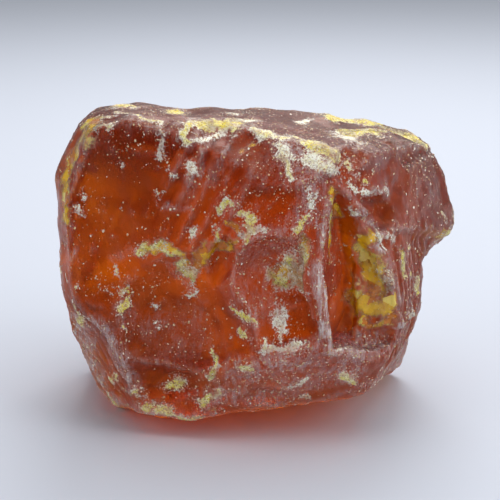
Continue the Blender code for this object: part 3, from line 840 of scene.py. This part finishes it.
class Finish:
    """A material whose nodes are put in one by one."""

    def __init__(self, name):
        self.material = bpy.data.materials.new(name)
        self.material.use_nodes = True
        self.tree = self.material.node_tree
        self.tree.nodes.clear()
        self.place = self.node("TexCoord", outlet="Object")

    def node(self, kind, settings=None, values=None, outlet=0):
        """Adds a node: its settings first, then its sockets' values or links. Gives one of its outputs."""
        made = self.tree.nodes.new("ShaderNode" + kind)
        for name, value in (settings or {}).items():
            setattr(made, name, value)
        for name, value in (values or {}).items():
            matching = [s for n, s in enumerate(made.inputs) if s.enabled and name in (n, s.name)]
            if isinstance(value, Shade):
                self.tree.links.new(value.socket, matching[0])
            else:
                matching[0].default_value = value
        outputs = [s for n, s in enumerate(made.outputs) if s.enabled and outlet in (n, s.name)]
        return Shade(self, outputs[0])

    def attribute(self, name):
        return self.node("Attribute", {"attribute_name": name}, outlet="Fac")

    def noise(self, size, detail=3.0, roughness=0.6, place=None, outlet=0):
        """Noise from 0 to 1 with features of this size in millimetres."""
        return self.node("TexNoise", {}, {"Vector": place or self.place, "Scale": 1 / (size * MM),
                                          "Detail": detail, "Roughness": roughness}, outlet)

    def cells(self, size, place, outlet):
        """Cells of this size in millimetres: the distance from their middles, or a colour for each."""
        return self.node("TexVoronoi", {"feature": "F1"},
                         {"Vector": place, "Scale": 1 / (size * MM), "Randomness": 1.0}, outlet)

    def stretched(self, turn, stretch):
        """The object's place, turned and stretched, so that a pattern on it runs as fibres."""
        return self.node("Mapping", {"vector_type": "POINT"},
                         {"Vector": self.place, "Rotation": turn, "Scale": stretch})

    def blend(self, share, a, b):
        """Two colours mixed."""
        return self.node("Mix", {"data_type": "RGBA"}, {"Factor": share, "A": a, "B": b}, outlet="Result")

    def bump(self, strength, depth, height):
        """The normal over a relief of this depth in millimetres."""
        return self.node("Bump", {}, {"Strength": strength, "Distance": depth * MM, "Height": height},
                         outlet="Normal")

    def surface(self, shader, volume=None):
        out = self.tree.nodes.new("ShaderNodeOutputMaterial")
        self.tree.links.new(shader.socket, out.inputs["Surface"])
        if volume:
            self.tree.links.new(volume.socket, out.inputs["Volume"])


# The clear resin with its painted glow and shade, then its frost and painted sheen, its bruises with painted
# glow and painted facet shading, its crust and the dust on it.
AMBER_IOR = 1.54
SHEEN_COLOUR = (0.9, 0.34, 0.14, 1.0)
SOAKED_UP = (0.99, 0.882, 0.0, 1.0)
SOAKING = 270.0               # per metre
# Resin tints: the clear amber, a painted glow and a painted shade.
CLEAR, PAINTED_GLOW_TINT, PAINTED_SHADE_TINT = (0.48, 0.24, 0.12, 1.0), (1.0, 0.76, 0.4, 1.0), (0.21, 0.058, 0.03, 1.0)
# Colours of the frost with its painted sheen, and of the crests' frost.
FROST_AND_SHEEN_COLOUR, CREST_FROST = (0.52, 0.47, 0.49, 1.0), (0.78, 0.66, 0.62, 1.0)
# Bruise colours: the gold is partly painted glow where light shines through thin amber, and the lit and
# shaded facet tones are painted light and painted shade.
BRUISE_GOLD, PAINTED_LIT_FACET = (0.97, 0.60, 0.008, 1.0), (0.98, 0.80, 0.16, 1.0)
BRUISE_OLIVE, PAINTED_SHADED_FACET = (0.66, 0.38, 0.012, 1.0), (0.62, 0.20, 0.004, 1.0)
CRUST_YELLOW, CRUST_CREAM = (0.80, 0.64, 0.08, 1.0), (0.86, 0.79, 0.36, 1.0)
CRUST_WHITE, CRUST_SHADE = (0.92, 0.91, 0.78, 1.0), (0.34, 0.17, 0.05, 1.0)
DUST = (0.66, 0.62, 0.56, 1.0)
FLECK_CELLS, WIDE_FLECK_CELLS, FACET_CELLS = 1.0, 2.3, 2.6

amber = Finish("raw_amber")
crust_at, chalk_at = amber.attribute("crust"), amber.attribute("chalk")
bruise_and_glow_at, frost_and_sheen_at = amber.attribute("bruise_and_painted_glow"), amber.attribute("frost_and_painted_sheen")
painted_glow_and_shade_at, bend_at = amber.attribute("painted_glow_and_shade"), amber.attribute("bend")

# Noise that breaks the marks' edges, from coarse to fine, and fibres that run up the crests.
clouds = amber.noise(4.5, 3)
crumbs = amber.noise(1.3, 4, 0.65)
powder = amber.noise(0.45, 3, 0.7)
fibres = amber.noise(0.6, 4, 0.65, amber.stretched((0.05, -0.08, 0.0), (1.0, 1.0, 0.1)))
streaks = amber.noise(0.9, 4, 0.7, amber.stretched((0.3, 0.9, 0.5), (1.0, 1.0, 0.2)))

# Crust is pierced and flaky, and breaks up into powder around itself.
flaws = (amber.noise(1.9, 3, 0.6) - 0.5).size().step(0.006, 0.02)
crust_body = crust_at.least(0.7) * 1.3 + (crumbs - 0.5) * 2.2 + (powder - 0.5) * 1.6
crust_mask = (crust_body - 0.4).step(0.0, 0.2) * (0.45 + flaws * 0.55)
crust_mask = crust_mask * (0.45 + clouds.step(0.38, 0.52) * 0.55)
dusting = (crust_at * 0.5 + (crumbs - 0.5) * 1.8 + (powder - 0.5) * 2.6 - 0.06).step(0.0, 0.3) * 0.7
rim = 1 - (crust_body - 0.4).step(0.1, 0.5)
chalk_mask = (chalk_at * 0.9 + (crumbs - 0.5) * 1.4 + rim * 0.35).step(0.45, 1.0)
# The bruises, partly painted glow.
bruise_and_glow_mask = (bruise_and_glow_at + (clouds - 0.5) * 1.2 + (crumbs - 0.5) * 1.3 - 0.1).step(0.0, 0.6)

# The place shaken by noise, so that cells have ragged edges.
shaken = amber.noise(0.5, 2, 0.5, outlet="Color")
ragged = amber.node("VectorMath", {"operation": "MULTIPLY_ADD"},
                    {0: shaken, 1: (0.7 * MM,) * 3, 2: amber.place}, outlet="Vector")


def fleck(size, least, share):
    """Ragged pale specks: one to a cell of this size in millimetres, in this share of the cells."""
    spot, chosen = amber.cells(size, ragged, "Distance"), amber.cells(size, ragged, "Color")
    return (powder * 2 * least - spot).step(0.0, 0.08) * chosen.step(1 - share, 1.02 - share)


def lines(pattern, width):
    """Thin winding lines where a pattern crosses its middle value."""
    return 1 - (pattern - 0.5).size().step(0.0, width)


# Frost on the skin: grains, a web of fine cracks, scratches, and strands along the crests.
flecks = fleck(FLECK_CELLS, 0.2, 0.4).most(fleck(WIDE_FLECK_CELLS, 0.13, 0.5))
flecks = flecks * amber.attribute("gritty").step(0.05, 0.55)
web = lines(amber.noise(1.8, 5, 0.7), 0.035)
scratches = lines(amber.noise(1.2, 3, 0.6, amber.stretched((0.4, 0.8, 0.5), (1.0, 1.0, 0.25))), 0.03)
frost = amber.noise(0.34, 5, 0.8).step(0.5, 0.6)
strands = fibres.step(0.45, 0.54)
crest = frost_and_sheen_at.step(0.45, 0.85)
frosting = 0.03 + frost * 0.55 + web * 0.5 + scratches * 0.75 + streaks.step(0.45, 0.6) * 0.6
frosting = frosting * (1 - crest * 0.6)
# The frost with its painted sheen, as a share of the skin's opaque layer.
frost_and_sheen_mask = (frost_and_sheen_at * (frosting + crest * (strands * 0.75 + 0.08))).kept()
opaque = crust_mask.most(dusting).most(bruise_and_glow_mask * 0.78).most(frost_and_sheen_mask).most(flecks * 0.85).kept()

crust_colour = amber.blend(crumbs.step(0.38, 0.62), CRUST_YELLOW, CRUST_CREAM)
crust_colour = amber.blend(chalk_mask, crust_colour, CRUST_WHITE)
crust_colour = amber.blend(powder.step(0.49, 0.36) * 0.8, crust_colour, CRUST_SHADE)
# Each chip facet gets a lighter or darker tone: painted light and painted shade on the facets.
facet_tone = amber.cells(FACET_CELLS, ragged, "Color")
painted_facet_shading = amber.node("SeparateColor", {}, {"Color": facet_tone}, outlet="Red")
bruise_and_glow_colour = amber.blend(clouds.step(0.4, 0.6), BRUISE_OLIVE, BRUISE_GOLD)
bruise_and_glow_colour = amber.blend(painted_facet_shading.step(0.3, 0.2), bruise_and_glow_colour, PAINTED_SHADED_FACET)
bruise_and_glow_colour = amber.blend(painted_facet_shading.step(0.75, 0.8), bruise_and_glow_colour, PAINTED_LIT_FACET)
frost_and_sheen_colour = amber.blend((bend_at.step(0.1, 0.7) * 0.6).most(crest * 0.8), FROST_AND_SHEEN_COLOUR, CREST_FROST)
skin_colour = amber.blend(bruise_and_glow_mask, frost_and_sheen_colour, bruise_and_glow_colour)
skin_colour = amber.blend(flecks, skin_colour, CRUST_CREAM)
skin_colour = amber.blend(dusting * 1.6, skin_colour, DUST)
skin_colour = amber.blend(crust_mask, skin_colour, crust_colour)

# The resin's tint, lightened by painted glow and darkened by painted shade.
tint_with_painted_light = amber.blend(painted_glow_and_shade_at.step(-0.9, 0.0), PAINTED_SHADE_TINT, CLEAR)
tint_with_painted_light = amber.blend(painted_glow_and_shade_at.step(0.0, 0.9), tint_with_painted_light, PAINTED_GLOW_TINT)

# The skin's finest relief: pits, scratches, powder, and the small facets of the chipped places.
tilting = amber.node("VectorMath", {"operation": "SUBTRACT"},
                     {0: facet_tone, 1: (0.5, 0.5, 0.5)}, outlet="Vector")
facets = amber.node("VectorMath", {"operation": "DOT_PRODUCT"},
                    {0: tilting, 1: amber.place}, outlet="Value") / MM
relief_height = amber.noise(0.35, 4, 0.7) * 0.35 + streaks * 0.5 + amber.noise(1.6, 2) * 0.6
relief_height = relief_height + fibres * frost_and_sheen_at * 2.5
crust_height = crumbs + powder + bruise_and_glow_mask * facets * 4.0 + fibres
bumps = amber.bump(0.8, 0.16, relief_height)
crust_bumps = amber.bump(0.6, 0.22, crust_height)

resin = amber.node("BsdfPrincipled", {}, {
    "Base Color": tint_with_painted_light, "Roughness": 0.24 + clouds * 0.16 + frost_and_sheen_at * 0.4, "IOR": AMBER_IOR,
    "Transmission Weight": 1.0, "Specular Tint": SHEEN_COLOUR, "Normal": bumps})
powdery = amber.node("BsdfPrincipled", {}, {
    "Base Color": skin_colour, "Roughness": 0.5 - bruise_and_glow_mask * 0.3 + crust_mask * 0.5,
    "Specular IOR Level": 0.4, "Coat Weight": bruise_and_glow_mask * (1 - crust_mask) * 0.5, "Coat Roughness": 0.1,
    "Normal": crust_bumps})
amber.surface(amber.node("MixShader", {}, {"Fac": opaque, 1: resin, 2: powdery}),
              amber.node("VolumeAbsorption", {}, {"Color": SOAKED_UP, "Density": SOAKING}))
lump.data.materials.append(amber.material)
lump.data.shade_smooth()
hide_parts("amber_lump")
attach(lump, "root")


# ---- Grit on the skin ------------------------------------------------------------------------
# Pale grains of weathered resin and dust, a few tenths of a millimetre across, stick all over
# the skin; crumbs of crust lie thick where the crust is.
BARE_GROUND = 0.6 * MM        # no grain lies lower than this
SIZE_SKEW = 2.2               # most grains are near the smallest
GRAIN_LEAN, FULL_TURN = 0.4, 6.3
GRIT_DARK, GRIT_MIDDLE, GRIT_PALE = (0.55, 0.30, 0.16, 1.0), (0.72, 0.56, 0.36, 1.0), (0.88, 0.82, 0.70, 1.0)

grit_finish = Finish("amber_grit")
tone_at = grit_finish.attribute("tone")
grit_colour = grit_finish.blend(tone_at.step(0.0, 0.45), GRIT_DARK, GRIT_MIDDLE)
grit_colour = grit_finish.blend(tone_at.step(0.55, 1.0), grit_colour, GRIT_PALE)
grit_finish.surface(grit_finish.node("BsdfPrincipled", {}, {
    "Base Color": grit_colour, "Roughness": 0.6, "Specular IOR Level": 0.4}))


def strew(name, source, seed, per_square_metre, smallest, largest, flatness, attribute):
    """Scatters small grains over a mesh, as thickly as an attribute says, as a piece of their own."""
    tree = bpy.data.node_groups.new(name, "GeometryNodeTree")
    inlet = {}
    tree.interface.new_socket("Geometry", in_out="INPUT", socket_type="NodeSocketGeometry")
    for label, value in (("Density", per_square_metre), ("Smallest", smallest), ("Largest", largest)):
        socket = tree.interface.new_socket(label, in_out="INPUT", socket_type="NodeSocketFloat")
        inlet[socket.identifier] = value
    tree.interface.new_socket("Geometry", in_out="OUTPUT", socket_type="NodeSocketGeometry")

    def add(kind, values=(), **settings):
        """Adds a node: its settings first, then its sockets' values, or links from sockets or nodes."""
        node = tree.nodes.new(kind)
        for key, value in settings.items():
            setattr(node, key, value)
        for key, value in dict(values).items():
            socket = next(s for n, s in enumerate(node.inputs) if s.enabled and key in (n, s.name))
            if isinstance(value, bpy.types.Node):
                value = next(s for s in value.outputs if s.enabled)
            if isinstance(value, bpy.types.NodeSocket):
                tree.links.new(value, socket)
            else:
                socket.default_value = value
        return node

    def multiply(a, b):
        return add("ShaderNodeMath", {0: a, 1: b}, operation="MULTIPLY")

    def chosen(step, least, most, data_type="FLOAT"):
        """A random value for each grain."""
        return add("FunctionNodeRandomValue", {"Min": least, "Max": most, "Seed": seed + step},
                   data_type=data_type)

    given = add("NodeGroupInput").outputs
    mark = add("GeometryNodeInputNamedAttribute", {"Name": attribute}, data_type="FLOAT")
    height = add("ShaderNodeSeparateXYZ", {0: add("GeometryNodeInputPosition")}).outputs["Z"]
    off_ground = add("ShaderNodeMath", {0: height, 1: BARE_GROUND}, operation="GREATER_THAN")
    density = multiply(multiply(mark, off_ground), given["Density"])
    spots = add("GeometryNodeDistributePointsOnFaces", {
        "Mesh": given["Geometry"], "Density": density, "Seed": seed}).outputs
    skewed = add("ShaderNodeMath", {0: chosen(1, 0.0, 1.0), 1: SIZE_SKEW}, operation="POWER")
    radius = add("ShaderNodeMapRange", {
        "Value": skewed, "To Min": given["Smallest"], "To Max": given["Largest"]})
    shapes = chosen(2, (0.6, 0.5, flatness), (1.5, 1.2, flatness * 1.8), "FLOAT_VECTOR")
    scaled = add("ShaderNodeVectorMath", {0: shapes, "Scale": radius}, operation="SCALE")
    spin = chosen(3, (-GRAIN_LEAN, -GRAIN_LEAN, 0.0), (GRAIN_LEAN, GRAIN_LEAN, FULL_TURN), "FLOAT_VECTOR")
    turned = add("FunctionNodeRotateRotation", {0: spots["Rotation"], 1: spin}, rotation_space="LOCAL")
    grain_shape = add("GeometryNodeMeshIcoSphere", {"Radius": 1.0, "Subdivisions": 1})
    laid = add("GeometryNodeInstanceOnPoints", {
        "Points": spots["Points"], "Instance": grain_shape, "Rotation": turned, "Scale": scaled})
    toned = add("GeometryNodeStoreNamedAttribute", {
        "Geometry": laid, "Name": "tone", "Value": chosen(4, 0.0, 1.0)}, data_type="FLOAT", domain="INSTANCE")
    real = add("GeometryNodeRealizeInstances", {"Geometry": toned})
    finished = add("GeometryNodeSetMaterial", {"Geometry": real, "Material": grit_finish.material})
    add("NodeGroupOutput", {0: finished})

    grains = bpy.data.objects.new(name, source.data.copy())
    bpy.context.scene.collection.objects.link(grains)
    scatter = grains.modifiers.new("strewn", "NODES")
    scatter.node_group = tree
    for identifier, value in inlet.items():
        scatter[identifier] = value
    grains.data = plain_copy(grains)
    put_points(grains.data, np.clip(points_of(grains.data) / MM, box_low, box_high) * MM)
    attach(grains, "root")


strew("skin_grit", lump, 11, 1.2e6, 0.08 * MM, 0.30 * MM, 0.3, "gritty")
strew("fine_grit", lump, 17, 1.27e6, 0.07 * MM, 0.14 * MM, 0.5, "gritty")
strew("crust_crumbs", lump, 23, 1.6e6, 0.05 * MM, 0.26 * MM, 0.3, "crumbly")


# ---- Floor and light -------------------------------------------------------------------------
# The lump stands on a plain pale sheet under broad soft light from above and behind.
FLOOR_REACH, FLOOR_DROP = 6.0, 0.05 * MM
FLOOR_COLOUR, FLOOR_SHADE = (0.56, 0.59, 0.66, 1.0), (0.51, 0.54, 0.60, 1.0)
LIGHT_AIM = (0.0, 0.0, 0.03)
LIGHTS = {                    # place and size in metres, power in watts
    "overhead": ((0.08, 0.0, 0.9), 0.9, 6.0),
    "from_behind": ((0.05, 0.36, 0.45), 0.3, 1.6),
    "from_left": ((-0.7, -0.25, 0.42), 0.5, 1.1),
    "from_right": ((0.6, -0.3, 0.45), 0.5, 2.1),
}
SKY_COLOUR, SKY_STRENGTH = (0.92, 0.95, 1.0, 1.0), 0.26

corners = [(x * FLOOR_REACH, y * FLOOR_REACH, -FLOOR_DROP) for x, y in ((-1, -1), (1, -1), (1, 1), (-1, 1))]
sheet_mesh = bpy.data.meshes.new("floor")
sheet_mesh.from_pydata(corners, [], [(0, 1, 2, 3)])
floor = bpy.data.objects.new("floor", sheet_mesh)
bpy.context.scene.collection.objects.link(floor)
paper = Finish("pale_sheet")
paper_colour = paper.blend(paper.noise(120.0, 2) * 0.1, FLOOR_COLOUR, FLOOR_SHADE)
paper.surface(paper.node("BsdfPrincipled", {}, {
    "Base Color": paper_colour, "Roughness": 0.8, "Specular IOR Level": 0.2}))
sheet_mesh.materials.append(paper.material)

for name, (place, size, power) in LIGHTS.items():
    light = bpy.data.lights.new(name, "AREA")
    light.shape, light.size, light.energy = "SQUARE", size, power
    made = bpy.data.objects.new(name, light)
    made.location = place
    made.rotation_euler = (Vector(LIGHT_AIM) - Vector(place)).to_track_quat("-Z", "Y").to_euler()
    bpy.context.scene.collection.objects.link(made)

world = bpy.data.worlds.new("studio")
bpy.context.scene.world = world
world.use_nodes = True
background = world.node_tree.nodes["Background"]
background.inputs["Color"].default_value = SKY_COLOUR
background.inputs["Strength"].default_value = SKY_STRENGTH
bpy.context.scene.view_settings.view_transform = "Standard"
